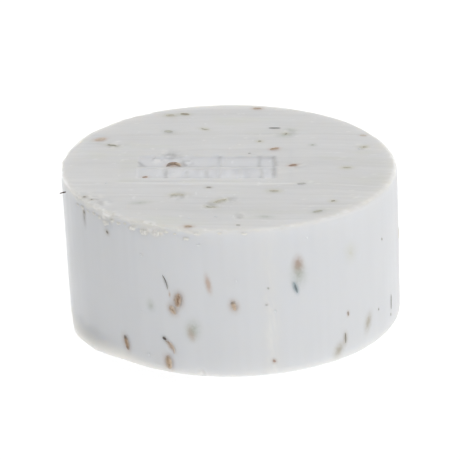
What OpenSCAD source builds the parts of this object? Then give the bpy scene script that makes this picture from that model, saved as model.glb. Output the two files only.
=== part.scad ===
// Hand-cut puck of solid shaving soap with botanical bits set in it.
// Millimetres, +Z up, origin at the middle of the flat base, front towards -Y.
// The wire that cut the top was drawn along X.
// Fleck sizes are in millimetres and their places are shares of the puck, so they follow its size.

/* [Puck] */
// Diameter of the soap
puck_d = 70; // [60:1:80]
// Height of the soap on its axis
puck_h = 32.3; // [28:0.1:38]
// Lean of the wall, from a log that lay a little askew under the wire, in degrees
wall_lean = 1.5; // [0:0.1:2]
// Slope of the wire-cut top down towards +X, in degrees
cut_slope = 0.7; // [0:0.1:1]
// Bevel round the top edge
top_bevel = 0.4; // [0.3:0.1:0.8]
// Bevel round the bottom edge
bottom_bevel = 0.6; // [0.5:0.1:1.2]

/* [Stamp] */
// Width of the stamped panel along X
stamp_w = 28.4; // [24:0.2:30]
// Length of the back row of blocks along Y
back_row = 5.7; // [5:0.1:7]
// Length of the front row of blocks along Y
front_row = 5.7; // [4:0.1:6]
// Plain ridge between the two rows
row_ridge = 0.8; // [0.5:0.1:1.2]
// Thin rib left between two blocks of a row
block_rib = 0.5; // [0.3:0.1:0.8]
// Depth of the blocks
stamp_depth = 0.4; // [0.3:0.1:0.8]
// Depth of the faint mark that the stamp's plate leaves round them
plate_depth = 0.1; // [0.1:0.05:0.2]

/* [Flecks] */
// Thickness of a husk flake
husk_t = 0.5; // [0.3:0.1:0.7]
// Thickness of a leaf bit
leaf_t = 0.3; // [0.2:0.1:0.5]
// How far a fleck at the surface stands out of it
proud = 0.06; // [0.04:0.01:0.1]
// Thickness of a soap crumb
crumb_t = 0.6; // [0.5:0.1:0.8]
// How far a soap crumb stands out of the wall
crumb_proud = 0.25; // [0.15:0.05:0.3]
// Number of flecks in the back half of the wall
back_count = 32; // [8:4:40]
// Number of flecks in the base
base_count = 21; // [6:3:24]
// Number of flecks sealed deep inside
inner_count = 26; // [8:2:30]

/* [Hidden] */
$fn = 360;
puck_r = puck_d / 2;
// The axis crosses the base this far towards +X, and the top as far towards -X.
axis_offset = tan(wall_lean) * puck_h / 2;
// Slack by which a cutting solid runs past what it cuts
over = 4;
stamp_x = -0.134 * puck_r;
stamp_y = -0.043 * puck_r;
stamp_l = back_row + row_ridge + front_row;
// The blocks' shares of a row's width, from left to right
back_blocks = [9, 8, 8, 3];
front_blocks = [6.5, 4, 4, 2.5, 4, 4.5, 2.5];
// Rim of the plate's mark past the blocks: left, right, back, front
plate_rim = [4, 3.4, 3.4, 2.8];
// Turn from one fleck of a sunflower pattern to the next
golden_turn = 137.5;
// Steps of even spreads that never repeat: two for places, three for sizes and lean
step_a = 0.469;
step_b = 0.376;
step_length = 0.31;
step_width = 0.43;
step_lean = 0.23;
// The back flecks start this far round from the front and cover this much of the wall, in degrees,
back_from = 84;
back_sweep = 192;
// and they lie between these heights, in % of the puck's.
back_low = 8;
back_high = 92;
// Shortest and longest, narrowest and widest, and the most that one leans either way
back_length = [1.8, 3.6];
back_width = [0.9, 1.5];
back_lean = 50;
// Thickness of the needles at the back, and their sag as a share of their length
back_needle_t = 0.34;
back_needle_sag = 0.1;
// Depth of the leaf bits at the back under the surface
back_leaf_depth = 1;
// Reach of the outermost flecks from the axis, as a share of the radius, in the base and inside
base_reach = 0.88;
inner_reach = 0.78;
// Heights between which the inner flecks lie, as shares of the puck's
inner_low = 0.15;
inner_high = 0.81;

// Wall flecks: [degrees from the front towards +X, height in % of the puck's,
// length, width, lean in degrees, depth of the middle under the surface]
husks_front = [
    [-17, 52, 3.3, 1.6, -8, 0],
    [-19, 45, 2.2, 1.3, 30, 0],
    [-38, 15.5, 3.5, 1.2, 14, 0],
    [-21.5, 8.5, 3.3, 1.5, 6, 0],
    [1.5, 49, 2.2, 1.1, 14, 0],
    [38, 5.5, 2.6, 1.2, -30, 0.7],
    [-6.5, 64, 4.8, 1, 9, 1],
    [-13, 30, 3.2, 1.2, 6, 1.1],
    [23.5, 71, 3.4, 1.4, 4, 1]
];
leaves_front = [
    [-12.4, 32.5, 3.6, 2.2, -10, 1.8],
    [23.6, 65, 5, 2.6, 4, 1.9],
    [-27, 46, 2.6, 1.6, 4, 1.3],
    [52.5, 15, 3.8, 1.2, -16, 0.9],
    [44.5, 69, 3, 2, 10, 1.9],
    [-56, 91, 4.4, 1, 4, 0.8]
];
// Needles add the sag of their bend.
needles_front = [
    [-21, 63.5, 3.6, 0.36, 18, 0, 0.3],
    [-19.8, 55.5, 1.6, 0.3, 0, 0.5, 0],
    [-20.2, 20, 3.5, 0.75, 36, 0, 0.8],
    [41, 12, 2.6, 0.36, 0, 0, 0],
    [69.5, 15.5, 3.8, 0.3, -3, 0, 0]
];
seeds_front = [
    [-22.6, 24.5, 1, 0.7, 60, 0],
    [69, 7, 0.9, 0.6, 10, 0],
    [42.5, 28, 1.1, 0.5, 6, 0],
    [59, 19, 0.7, 0.5, 10, 0],
    [62.5, 65, 0.8, 0.5, 20, 0],
    [13, 59, 0.6, 0.4, 60, 0],
    [12.2, 48, 0.6, 0.4, 80, 0],
    [14, 9, 0.8, 0.6, 40, 0],
    [-43.5, 88.5, 0.8, 0.5, 50, 0],
    [-56, 95, 0.7, 0.4, 20, 0]
];
grains_front = [
    [-31, 40, 0.8, 0.6, 30, 0],
    [-29, 11, 0.9, 0.7, 0, 0],
    [-29.5, 79, 1, 0.7, 30, 0],
    [2.5, 66, 0.8, 0.5, 20, 0],
    [-9, 90, 1, 0.6, 80, 0],
    [27, 88, 0.8, 0.6, 40, 0],
    [15, 43, 0.9, 0.6, 10, 0]
];

// Top flecks: [X in % of the radius, Y in % of the radius, length, width,
// turn of the length from X, depth of the middle under the surface]
husks_top = [
    [-29, 82, 2.2, 1, -8, 0],
    [-79, 39, 2.6, 1.4, 30, 0],
    [-29, -48, 3, 1, 8, 0],
    [-21, -94, 1.7, 1, 0, 0],
    [16, 92, 2, 0.9, 0, 0],
    [37, 55, 2.4, 1.1, -30, 0.5],
    [27, 24, 2.3, 0.9, 20, 0],
    [38, -2, 2, 1.1, 15, 0],
    [81, 46, 1.6, 0.9, 0, 0],
    [27, -42, 2.2, 1.1, 0, 0],
    [-4, -57, 3.6, 0.9, 35, 0]
];
leaves_top = [
    [-38, 80, 2.2, 1.2, 0, 0],
    [-38, 52, 2.2, 1.4, -10, 0],
    [43, -31, 2, 1, 10, 0],
    [52, -72, 2.4, 1.1, 25, 0],
    [34, 46, 3, 1.3, 10, 0.5],
    [-50, -60, 5, 2, 10, 0.8],
    [22, -80, 4, 1.6, -5, 0.8]
];
needles_top = [
    [27, 58, 2.9, 0.4, 0, 0, 0],
    [-16, 56, 2.2, 0.5, -30, 0, 0.4],
    [-71, 29, 2.8, 0.5, -20, 0, 0],
    [-9, -66, 2.6, 0.5, -12, 0, 0.5],
    [70, -6, 2, 0.36, 6, 0, 0],
    [-45, 11, 1.6, 0.3, 60, 0, 0.2]
];
seeds_top = [
    [-49, -18.5, 1.3, 0.8, 20, 0],
    [-11, -37, 1.1, 0.6, 0, 0],
    [34, 49, 0.7, 0.6, 0, 0],
    [18, 36, 0.8, 0.6, 0, 0],
    [12, 17, 0.7, 0.5, 0, 0],
    [50, 30, 0.6, 0.5, 0, 0],
    [61, -57, 1, 0.5, 20, 0],
    [7, -92, 1, 0.6, 0, 0],
    [81, 27, 0.9, 0.6, 40, 0],
    [-82.5, -51, 0.7, 0.5, 0, 0],
    [-78, -55.5, 0.6, 0.4, 50, 0]
];
grains_top = [
    [-71, -31, 0.7, 0.6, 0, 0],
    [-21, -82, 0.8, 0.7, 0, 0],
    [-6, -80, 0.8, 0.6, 0, 0],
    [78, 24, 0.8, 0.6, 0, 0]
];

// Crumbs under the rim: [degrees from the front towards +X, height in % of the puck's,
// length along the rim, width]
crumbs = [
    [-60.5, 97, 1.1, 0.6],
    [-57, 97.5, 1.6, 0.9],
    [-53.5, 97, 1, 0.6],
    [-50, 97.5, 1.4, 0.9],
    [-47, 96.5, 1.2, 0.8],
    [-44, 94.5, 2.2, 1.4],
    [-41, 97.5, 1.1, 0.7],
    [-38, 97, 1.4, 0.9],
    [-35.3, 98, 0.9, 0.6],
    [-32.5, 96, 2, 1.3],
    [-28, 95, 2.2, 1.6],
    [-23.5, 96, 2, 1.4],
    [-19.8, 97.5, 1.2, 0.8],
    [-16.8, 96.5, 0.9, 0.6],
    [-13, 94, 1.5, 0.9],
    [-9.5, 97.5, 1.2, 0.7],
    [-2, 98, 1, 0.6],
    [6, 97, 1.4, 0.7]
];

// The one petal sliver, as a wall fleck
petal = [22.3, 56.5, 2.8, 0.5, 16, 0];
// The stem: degrees from the front, height in % of the puck's, length, diameter, how far it sticks out
stem = [-73.5, 96.3, 2.2, 0.45, 1.1];
// The curled husk on the floor of the stamp: place in % of the radius, length, thickness, sag
curl = [-32.9, 2.4, 2.6, 0.5, 2.2];

// The i-th value of an even spread over 0 to 1, or over low to high
function share(i, step) = (0.5 + i * step) % 1;
function spread(i, step, low, high) = low + (high - low) * share(i, step);

// Frames: children stand on the wall or the top with +Z out of it.
module leaned() {
    translate([axis_offset, 0, 0]) rotate([0, -wall_lean, 0]) children();
}
module on_wall(angle, height_share, out = 0) {
    leaned()
        rotate([0, 0, angle])
            translate([0, -puck_r - out, height_share * puck_h])
                rotate([90, 0, 0])
                    children();
}
module cut_plane() {
    translate([-axis_offset, 0, puck_h]) rotate([0, cut_slope, 0]) children();
}
module on_top(x_share, y_share, out = 0) {
    cut_plane() translate([x_share * puck_r, y_share * puck_r, out]) children();
}

// Fleck shapes lie with their length along Y and their middle at the origin.
module lens(length, width) {
    r = (length * length + width * width) / (4 * width);
    intersection() {
        translate([r - width / 2, 0]) circle(r = r);
        translate([width / 2 - r, 0]) circle(r = r);
    }
}
module flake(length, width, thickness) {
    translate([0, 0, -thickness / 2]) linear_extrude(height = thickness) lens(length, width);
}
module kernel(length, width) {
    flake(length, width, width);
}
// A needle: straight with no sag, or a crescent whose middle line rises by its sag.
module sliver(length, thickness, sag) {
    outer = sag + thickness / 2;
    inner = sag - thickness / 2;
    if (sag == 0)
        kernel(length, thickness);
    else
        translate([-sag, 0, -thickness / 2])
            linear_extrude(height = thickness)
                difference() {
                    arc_circle(length, outer);
                    arc_circle(length, inner);
                }
}
// The circle whose arc over a chord of this length rises by the sag.
module arc_circle(length, sag) {
    r = (length * length / 4 + sag * sag) / (2 * sag);
    translate([sag - r, 0]) circle(r = r);
}

// One fleck of a list, set into the wall or into the top. One at the surface stands a little proud.
function rise(depth, thickness) = depth > 0 ? -depth : proud - thickness / 2;
module in_wall(f, thickness) {
    on_wall(f[0], f[1] / 100, rise(f[5], thickness)) rotate([0, 0, f[4]]) children();
}
module in_top(f, thickness) {
    on_top(f[0] / 100, f[1] / 100, rise(f[5], thickness)) rotate([0, 0, f[4] - 90]) children();
}
module wall_flake(f, thickness) {
    in_wall(f, thickness) flake(f[2], f[3], thickness);
}
module wall_kernel(f) {
    in_wall(f, f[3]) kernel(f[2], f[3]);
}
module wall_sliver(f) {
    in_wall(f, f[3]) sliver(f[2], f[3], f[6]);
}
module top_flake(f, thickness) {
    in_top(f, thickness) flake(f[2], f[3], thickness);
}
module top_kernel(f) {
    in_top(f, f[3]) kernel(f[2], f[3]);
}
module top_sliver(f) {
    in_top(f, f[3]) sliver(f[2], f[3], f[6]);
}

// The back of the wall, with one kind of fleck in turn: flake, sliver, kernel, leaf.
function back_fleck(i) = [
    back_from + back_sweep * share(i, step_a),
    spread(i, step_b, back_low, back_high),
    spread(i, step_length, back_length[0], back_length[1]),
    spread(i, step_width, back_width[0], back_width[1]),
    spread(i, step_lean, -back_lean, back_lean),
    0
];
module back_flakes() {
    for (i = [0:4:back_count - 1]) wall_flake(back_fleck(i), husk_t);
}
module back_slivers() {
    for (i = [1:4:back_count - 1]) {
        f = back_fleck(i);
        wall_sliver([f[0], f[1], f[2], back_needle_t, f[4], 0, back_needle_sag * f[2]]);
    }
}
module back_kernels() {
    for (i = [2:4:back_count - 1]) {
        f = back_fleck(i);
        wall_kernel([f[0], f[1], f[2] / 3, f[3] / 2, f[4], 0]);
    }
}
module back_leaves() {
    for (i = [3:4:back_count - 1]) {
        f = back_fleck(i);
        wall_flake([f[0], f[1], f[2], f[3], f[4], back_leaf_depth], leaf_t);
    }
}

// The base, a sunflower pattern with one kind of fleck in turn: flake, sliver, kernel.
module on_base(i) {
    reach = base_reach * puck_r * sqrt((i + 0.5) / base_count);
    translate([axis_offset, 0, 0])
        rotate([0, 0, i * golden_turn])
            translate([reach, 0, 0])
                rotate([0, 0, 360 * share(i, step_b)])
                    children();
}
module base_flakes() {
    length = 2.6;
    width = 1.2;
    for (i = [0:3:base_count - 1])
        on_base(i) translate([0, 0, husk_t / 2]) flake(length, width, husk_t);
}
module base_slivers() {
    length = 2.6;
    thickness = 0.4;
    sag = 0.3;
    for (i = [1:3:base_count - 1])
        on_base(i) translate([0, 0, thickness / 2]) sliver(length, thickness, sag);
}
module base_kernels() {
    length = 1;
    width = 0.6;
    for (i = [2:3:base_count - 1])
        on_base(i) translate([0, 0, width / 2]) kernel(length, width);
}

// Deep inside: a sunflower pattern that climbs and falls through the middle of the puck.
module inside(i) {
    reach = inner_reach * puck_r * sqrt((i + 0.5) / inner_count);
    height = puck_h * spread(i, step_a, inner_low, inner_high);
    rotate([0, 0, i * golden_turn])
        translate([reach, 0, height])
            rotate([360 * share(i, step_b), 0, 0])
                children();
}

// Each sub-part's shape, drawn once for itself and once as the pocket that it fills.
module crumb_shapes() {
    for (c = crumbs)
        on_wall(c[0], c[1] / 100, crumb_proud - crumb_t / 2)
            rotate([0, 0, 90])
                flake(c[2], c[3], crumb_t);
}
module grain_shapes() {
    for (f = grains_front) wall_kernel(f);
    for (f = grains_top) top_kernel(f);
}
module stem_shape() {
    on_wall(stem[0], stem[1] / 100, stem[4] - stem[2]) cylinder(d = stem[3], h = stem[2]);
}
module petal_shape() {
    wall_kernel(petal);
}
module stamp_husk_shape() {
    on_top(curl[0] / 100, curl[1] / 100, -stamp_depth)
        rotate([0, 0, 90])
            sliver(curl[2], curl[3], curl[4]);
}
module husk_front_shapes() {
    for (f = husks_front) wall_flake(f, husk_t);
}
module husk_top_shapes() {
    for (f = husks_top) top_flake(f, husk_t);
}
module needle_front_shapes() {
    for (f = needles_front) wall_sliver(f);
}
module needle_top_shapes() {
    for (f = needles_top) top_sliver(f);
}
module leaf_front_shapes() {
    for (f = leaves_front) wall_flake(f, leaf_t);
}
module leaf_top_shapes() {
    for (f = leaves_top) top_flake(f, leaf_t);
}
module seed_front_shapes() {
    for (f = seeds_front) wall_kernel(f);
}
module seed_top_shapes() {
    for (f = seeds_top) top_kernel(f);
}
module inner_husk_shapes() {
    length = 3;
    width = 1.4;
    for (i = [0:2:inner_count - 1]) inside(i) flake(length, width, husk_t);
}
module inner_needle_shapes() {
    length = 3.2;
    thickness = 0.4;
    sag = 0.4;
    for (i = [1:2:inner_count - 1]) inside(i) sliver(length, thickness, sag);
}
module all_flecks() {
    crumb_shapes();
    grain_shapes();
    stem_shape();
    petal_shape();
    stamp_husk_shape();
    husk_front_shapes();
    husk_top_shapes();
    needle_front_shapes();
    needle_top_shapes();
    leaf_front_shapes();
    leaf_top_shapes();
    seed_front_shapes();
    seed_top_shapes();
    back_flakes();
    back_slivers();
    back_kernels();
    back_leaves();
    base_flakes();
    base_slivers();
    base_kernels();
    inner_husk_shapes();
    inner_needle_shapes();
}

// The soap: the leaning log, cut off above and below by planes with a bevelled edge.
module log_piece() {
    leaned() translate([0, 0, -over]) cylinder(r = puck_r, h = puck_h + 2 * over);
}
module capped(bevel) {
    rotate_extrude()
        polygon([
            [0, 0],
            [puck_r - bevel, 0],
            [puck_r + over, bevel + over],
            [puck_r + over, puck_h + 2 * over],
            [0, puck_h + 2 * over]
        ]);
}
module blank() {
    intersection() {
        log_piece();
        translate([axis_offset, 0, 0]) capped(bottom_bevel);
        cut_plane() mirror([0, 0, 1]) capped(top_bevel);
    }
}

// A row of sunk blocks from the panel's left edge, with a rib between neighbours.
function total(v, n) = n == 0 ? 0 : v[n - 1] + total(v, n - 1);
module block_row(shares, row_l) {
    unit = (stamp_w - block_rib * (len(shares) - 1)) / total(shares, len(shares));
    for (i = [0:len(shares) - 1])
        translate([total(shares, i) * unit + i * block_rib, 0, -stamp_depth])
            cube([shares[i] * unit, row_l, over]);
}
module stamp_cut() {
    translate([stamp_x - stamp_w / 2, stamp_y - stamp_l / 2, 0]) {
        block_row(front_blocks, front_row);
        translate([0, front_row + row_ridge, 0]) block_row(back_blocks, back_row);
        translate([-plate_rim[0], -plate_rim[3], -plate_depth])
            cube([
                stamp_w + plate_rim[0] + plate_rim[1],
                stamp_l + plate_rim[2] + plate_rim[3],
                over
            ]);
    }
}

module soap_puck() {
    color("whitesmoke")
        difference() {
            blank();
            cut_plane() stamp_cut();
            all_flecks();
        }
}
module rim_crumbs() {
    color("ivory") crumb_shapes();
}
module white_grains() {
    color("white") grain_shapes();
}
module rim_stem() {
    color("dimgray") stem_shape();
}
module petal_sliver() {
    color("darkslategray") petal_shape();
}
module stamp_husk() {
    color("saddlebrown") stamp_husk_shape();
}
module husk_flakes_front() {
    color("peru") husk_front_shapes();
}
module husk_flakes_back() {
    color("peru") back_flakes();
}
module husk_flakes_top() {
    color("tan") husk_top_shapes();
}
module husk_flakes_base() {
    color("peru") base_flakes();
}
module herb_needles_front() {
    color("dimgray") needle_front_shapes();
}
module herb_needles_back() {
    color("dimgray") back_slivers();
}
module herb_needles_top() {
    color("dimgray") needle_top_shapes();
}
module herb_needles_base() {
    color("dimgray") base_slivers();
}
module leaf_bits_front() {
    color("darkseagreen") leaf_front_shapes();
}
module leaf_bits_back() {
    color("darkseagreen") back_leaves();
}
module leaf_bits_top() {
    color("darkseagreen") leaf_top_shapes();
}
module seed_specks_front() {
    color("sienna") seed_front_shapes();
}
module seed_specks_back() {
    color("sienna") back_kernels();
}
module seed_specks_top() {
    color("sienna") seed_top_shapes();
}
module seed_specks_base() {
    color("sienna") base_kernels();
}
module inner_husks() {
    color("peru") inner_husk_shapes();
}
module inner_needles() {
    color("dimgray") inner_needle_shapes();
}

soap_puck();
rim_crumbs();
white_grains();
rim_stem();
petal_sliver();
stamp_husk();
husk_flakes_front();
husk_flakes_back();
husk_flakes_top();
husk_flakes_base();
herb_needles_front();
herb_needles_back();
herb_needles_top();
herb_needles_base();
leaf_bits_front();
leaf_bits_back();
leaf_bits_top();
seed_specks_front();
seed_specks_back();
seed_specks_top();
seed_specks_base();
inner_husks();
inner_needles();
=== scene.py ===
# Looks of the hand-cut shaving soap puck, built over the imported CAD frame.
# Lengths are in millimetres until a mesh, a light or the camera is made from them.
# Angles round the wall are in degrees from the front (-Y) towards +X.
import math

import bpy
import numpy as np
from mathutils import Matrix, Vector


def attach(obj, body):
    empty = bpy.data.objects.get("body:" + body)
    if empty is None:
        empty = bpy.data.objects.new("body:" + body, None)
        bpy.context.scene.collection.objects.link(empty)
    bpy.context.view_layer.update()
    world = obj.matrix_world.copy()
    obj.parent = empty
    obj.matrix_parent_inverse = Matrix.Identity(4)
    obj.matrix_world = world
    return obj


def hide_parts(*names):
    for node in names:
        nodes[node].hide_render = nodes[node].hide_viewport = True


MM = 0.001
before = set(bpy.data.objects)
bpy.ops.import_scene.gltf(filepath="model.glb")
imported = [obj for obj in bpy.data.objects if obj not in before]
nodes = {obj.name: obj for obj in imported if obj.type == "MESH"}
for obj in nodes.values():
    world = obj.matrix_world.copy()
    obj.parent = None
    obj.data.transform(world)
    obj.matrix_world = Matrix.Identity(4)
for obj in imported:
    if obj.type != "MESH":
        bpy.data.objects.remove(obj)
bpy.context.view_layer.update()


# -------- the puck, measured on the CAD solid
def points_of(node):
    data = nodes[node].data
    co = np.empty(len(data.vertices) * 3)
    data.vertices.foreach_get("co", co)
    return co.reshape(-1, 3) / MM


def unit(v):
    return np.asarray(v, float) / np.linalg.norm(v)


soap_points = points_of("soap_puck")
RADIUS = (soap_points[:, 1].max() - soap_points[:, 1].min()) / 2
foot_ring = soap_points[soap_points[:, 2] < 0.001]
FOOT_X = (foot_ring[:, 0].max() + foot_ring[:, 0].min()) / 2
left_end = soap_points[soap_points[:, 0] < -0.9 * RADIUS]
right_end = soap_points[soap_points[:, 0] > 0.9 * RADIUS]
left_top = left_end[left_end[:, 2].argmax()]
right_top = right_end[right_end[:, 2].argmax()]
SLOPE = math.atan2(left_top[2] - right_top[2], right_top[0] - left_top[0])
plane_height = left_top[2] - (soap_points[:, 0] - left_top[0]) * math.tan(SLOPE)
top_ring = soap_points[abs(soap_points[:, 2] - plane_height) < 0.01]
TOP_X = (top_ring[:, 0].max() + top_ring[:, 0].min()) / 2
HEIGHT = left_top[2] - (TOP_X - left_top[0]) * math.tan(SLOPE)
LEAN = math.atan2(FOOT_X - TOP_X, HEIGHT)

FOOT = np.array([FOOT_X, 0, 0])
AXIS = np.array([-math.sin(LEAN), 0, math.cos(LEAN)])
ACROSS = np.array([math.cos(LEAN), 0, math.sin(LEAN)])
FRONT = np.array([0, -1.0, 0])
TOP = np.array([TOP_X, 0, HEIGHT])
TOP_OUT = np.array([math.sin(SLOPE), 0, math.cos(SLOPE)])
TOP_ALONG = np.array([math.cos(SLOPE), 0, -math.sin(SLOPE)])
TOP_BACK = np.array([0, 1.0, 0])


def outward(angle):
    """Unit vectors out of the wall at these angles."""
    a = np.radians(np.asarray(angle, float))[..., None]
    return np.sin(a) * ACROSS + np.cos(a) * FRONT


def off_axis(points):
    """How high points lie along the puck's axis, their angle round it, and how they stand off it."""
    height = (points - FOOT) @ AXIS
    flat = points - FOOT - height[..., None] * AXIS
    return height, np.degrees(np.arctan2(flat @ ACROSS, flat @ FRONT)), flat


def wall_line(angle):
    """The wall's straight line at these angles: its start, and how far up it the base and the cut lie."""
    start = FOOT + RADIUS * outward(angle)
    low = -start[..., 2] / AXIS[2]
    high = ((TOP - start) @ TOP_OUT) / (AXIS @ TOP_OUT)
    return start, low, high


# -------- noise and shaping
def step(x, start, end):
    t = np.clip((x - start) / (end - start), 0, 1)
    return t * t * (3 - 2 * t)


def window(x, start, end, soft):
    return step(x, start - soft, start + soft) * (1 - step(x, end - soft, end + soft))


def bell(off, half):
    """1 on the middle of a soft line or spot, and down to nothing past this half width."""
    return np.exp(-((off / half) ** 2))


def noise(x, y, seed, wrap=64):
    """Smooth noise from -1 to 1 that repeats every `wrap` cells."""
    table = np.random.RandomState(seed).uniform(-1, 1, (wrap, wrap))
    x, y = np.broadcast_arrays(np.asarray(x, float), np.asarray(y, float))
    xi, yi = np.floor(x).astype(int), np.floor(y).astype(int)
    fx, fy = x - xi, y - yi
    fx, fy = fx * fx * (3 - 2 * fx), fy * fy * (3 - 2 * fy)
    a, b = table[xi % wrap, yi % wrap], table[(xi + 1) % wrap, yi % wrap]
    c, d = table[xi % wrap, (yi + 1) % wrap], table[(xi + 1) % wrap, (yi + 1) % wrap]
    return (a * (1 - fx) + b * fx) * (1 - fy) + (c * (1 - fx) + d * fx) * fy


def rough(x, y, seed, octaves=3):
    """Noise with finer and weaker layers over it."""
    total = sum(noise(x * 2**k, y * 2**k, seed + k) / 2**k for k in range(octaves))
    return total / (2 - 2 ** (1 - octaves))


def round_noise(angle, cells, height, seed):
    """Noise round the wall that meets itself at the back."""
    return noise(np.asarray(angle) / 360 * cells, height, seed, wrap=cells)


def srgb(*rgb):
    """Linear colour of an 8-bit sRGB one."""
    c = np.array(rgb, float) / 255
    return np.where(c <= 0.04045, c / 12.92, ((c + 0.055) / 1.055) ** 2.4)


def blend(colour, other, share):
    """A colour with this share of another one in it."""
    return colour + (other - colour) * share[..., None]


# -------- the soap's worn edges and relief
# Torn stretches of the rim: from, to, softness, how torn
TORN_STRETCHES = [
    (-92, -64, 5, 0.30), (-64, -47, 3, 0.62), (-47, -40, 1.5, 0.85), (-40, -33, 2, 0.30),
    (-33, -20, 1.5, 1.00), (-20, -6, 3, 0.42), (100, 122, 5, 0.45), (186, 204, 5, 0.40),
    (-152, -124, 5, 0.66), (-118, -96, 4, 0.45),
]
TOP_EDGE = 0.55
BOTTOM_EDGE = 0.55
EDGE_LEAST, FOOT_LEAST = 0.3, 0.35


def ragged(angle):
    """How torn the rim is at these angles, 0 to 1."""
    angle = (np.asarray(angle, float) + 150) % 360 - 150
    torn = sum(share * window(angle, start, end, soft) for start, end, soft, share in TORN_STRETCHES)
    return torn * (0.78 + 0.3 * round_noise(angle, 150, 0.5, 10))


def flakes(along, height):
    """Torn flakes of soap, 0 to 1, over lengths along the rim and down from it."""
    return step(rough(along / 1.3, height / 0.9, 18), 0.0, 0.3)


def top_round(angle):
    """Width of the rounding of the top edge, broadest at the right."""
    wander = 0.1 * round_noise(angle, 40, 0.3, 11) + 0.06 * round_noise(angle, 160, 0.3, 12)
    torn = 0.55 + 0.4 * round_noise(angle, 72, 0.7, 13) + 0.3 * round_noise(angle, 210, 0.7, 14)
    broad = 0.3 * window(angle, -5, 110, 18) + 0.35 * window(angle, 40, 125, 20)
    return np.maximum(EDGE_LEAST, TOP_EDGE + broad + wander + ragged(angle) * torn)


def bottom_round(angle):
    """Width of the rounding of the bottom edge, widest at the front left."""
    wander = 0.16 * round_noise(angle, 24, 1.3, 15) + 0.12 * round_noise(angle, 90, 1.3, 16)
    return np.maximum(FOOT_LEAST, BOTTOM_EDGE + wander + 0.15 * window(angle, -100, -30, 22))


def arc_drop(inset, width):
    """How far a quarter-round edge of this width has fallen at this distance in from the side."""
    gap = np.clip(width - inset, 0, width)
    return width - np.sqrt(np.maximum(width * width - gap * gap, 0))


# The squashed foot at the front left: how far it spreads, its angles, and where it fades up the wall
FLARE = 1.15
FLARE_ANGLES = (-72, -46, 9)
FLARE_FADE = (0.9, 4.4)


def foot_flare(angle, up):
    """How far the squashed foot spreads out at this height over the base."""
    return FLARE * window(angle, *FLARE_ANGLES) * (1 - step(up, *FLARE_FADE))


WALL_SINK = 0.07
WALL_WAVES = [
    # cells round the puck, their height, depth, seed
    (12, 14, 0.05, 21),
    (60, 26, 0.03, 22),
    (180, 40, 0.016, 23),
]
# Torn soap under the rim: the heights over which it begins, its depth, and how far its flakes stand back out
TORN_FROM, TORN_DEPTH, TORN_FLAKE = (29, 31), 0.12, 0.16
WALL_CHIPS = [
    # angle, height, half width along the wall, half height, depth
    (-10.5, 0.8, 0.7, 0.9, 0.55), (-22, 0.3, 0.5, 0.5, 0.3), (-27, 27.2, 0.7, 0.7, 0.12),
    (-25, 24.6, 0.3, 1.0, 0.08), (-29.5, 15.6, 0.35, 0.5, 0.14), (-28.6, 14.6, 0.3, 0.35, 0.12),
    (-25.5, 6.2, 0.4, 0.6, 0.12), (-26, 2.4, 0.35, 0.6, 0.12), (-22.5, 14.0, 0.5, 0.8, 0.08),
    (64, 31.0, 0.8, 0.5, 0.25), (18, 31.4, 1.0, 0.4, 0.2), (140, 3.0, 1.2, 0.8, 0.3),
    (-130, 26.0, 0.9, 1.4, 0.2),
]


def wall_sink(angle, height):
    """How far the wall lies inside the CAD cylinder."""
    along = np.radians(angle) * RADIUS
    waves = [depth * round_noise(angle, n, height / tall, seed) for n, tall, depth, seed in WALL_WAVES]
    crinkle = 0.1 * window(angle, -115, -68, 10) * rough(along / 2.4, height / 3.2, 24)
    torn = ragged(angle) * step(height, *TORN_FROM)
    sink = WALL_SINK + sum(waves) + crinkle + torn * (TORN_DEPTH - TORN_FLAKE * flakes(along, height))
    for at, up, half_w, half_h, depth in WALL_CHIPS:
        sink = sink + depth * bell(np.radians(angle - at) * RADIUS, half_w) * bell(height - up, half_h)
    return np.maximum(sink, 0)


ARC_MIDDLE = 1 - math.sqrt(0.5)


def wall_inset(angle, height):
    """How far the finished wall lies inside the CAD cylinder, its rounded edges included."""
    start, low, high = wall_line(angle)
    top_edge, bottom_edge = top_round(angle), bottom_round(angle)
    down, up = high - height, height - low
    settle = step(down - top_edge * ARC_MIDDLE, 0, 0.5) * step(up - bottom_edge * ARC_MIDDLE, -0.01, 0.4)
    worn = arc_drop(down, top_edge) + arc_drop(up, bottom_edge) + wall_sink(angle, height) * settle
    return worn - foot_flare(angle, up)


# The generic stamp of plain blocks, with the same dimensions as in CAD
STAMP_X, STAMP_Y = -0.134 * RADIUS, -0.043 * RADIUS
STAMP_W = 28.4
BACK_ROW, FRONT_ROW, ROW_RIDGE = 5.7, 5.7, 0.8
BLOCK_RIB = 0.5
WORN = 0.6
# How far down the ribs between the blocks of a row are worn, as a share of their depth
RIB_WORN = 0.62
STAMP_DEPTH, PLATE_DEPTH = 0.4, 0.1
BACK_BLOCKS = [9, 8, 8, 3]
FRONT_BLOCKS = [6.5, 4, 4, 2.5, 4, 4.5, 2.5]
PLATE_LEFT, PLATE_RIGHT, PLATE_BACK, PLATE_FRONT = 4, 3.4, 3.4, 2.8
STAMP_LEFT, STAMP_RIGHT = STAMP_X - STAMP_W / 2, STAMP_X + STAMP_W / 2
ROWS_FRONT = STAMP_Y - (BACK_ROW + ROW_RIDGE + FRONT_ROW) / 2
ROWS_BACK = ROWS_FRONT + BACK_ROW + ROW_RIDGE + FRONT_ROW

# How dark the painted shade at the foot of each of a block's sides is, how far off the side it lies and how
# wide it is
RIGHT_FOOT, LEFT_FOOT = (1.7, 0.08, 0.42), (0.35, 0.1, 0.25)
FRONT_FOOT, BACK_FOOT = (0.9, 0.1, 0.35), (0.4, -0.1, 0.3)


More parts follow.
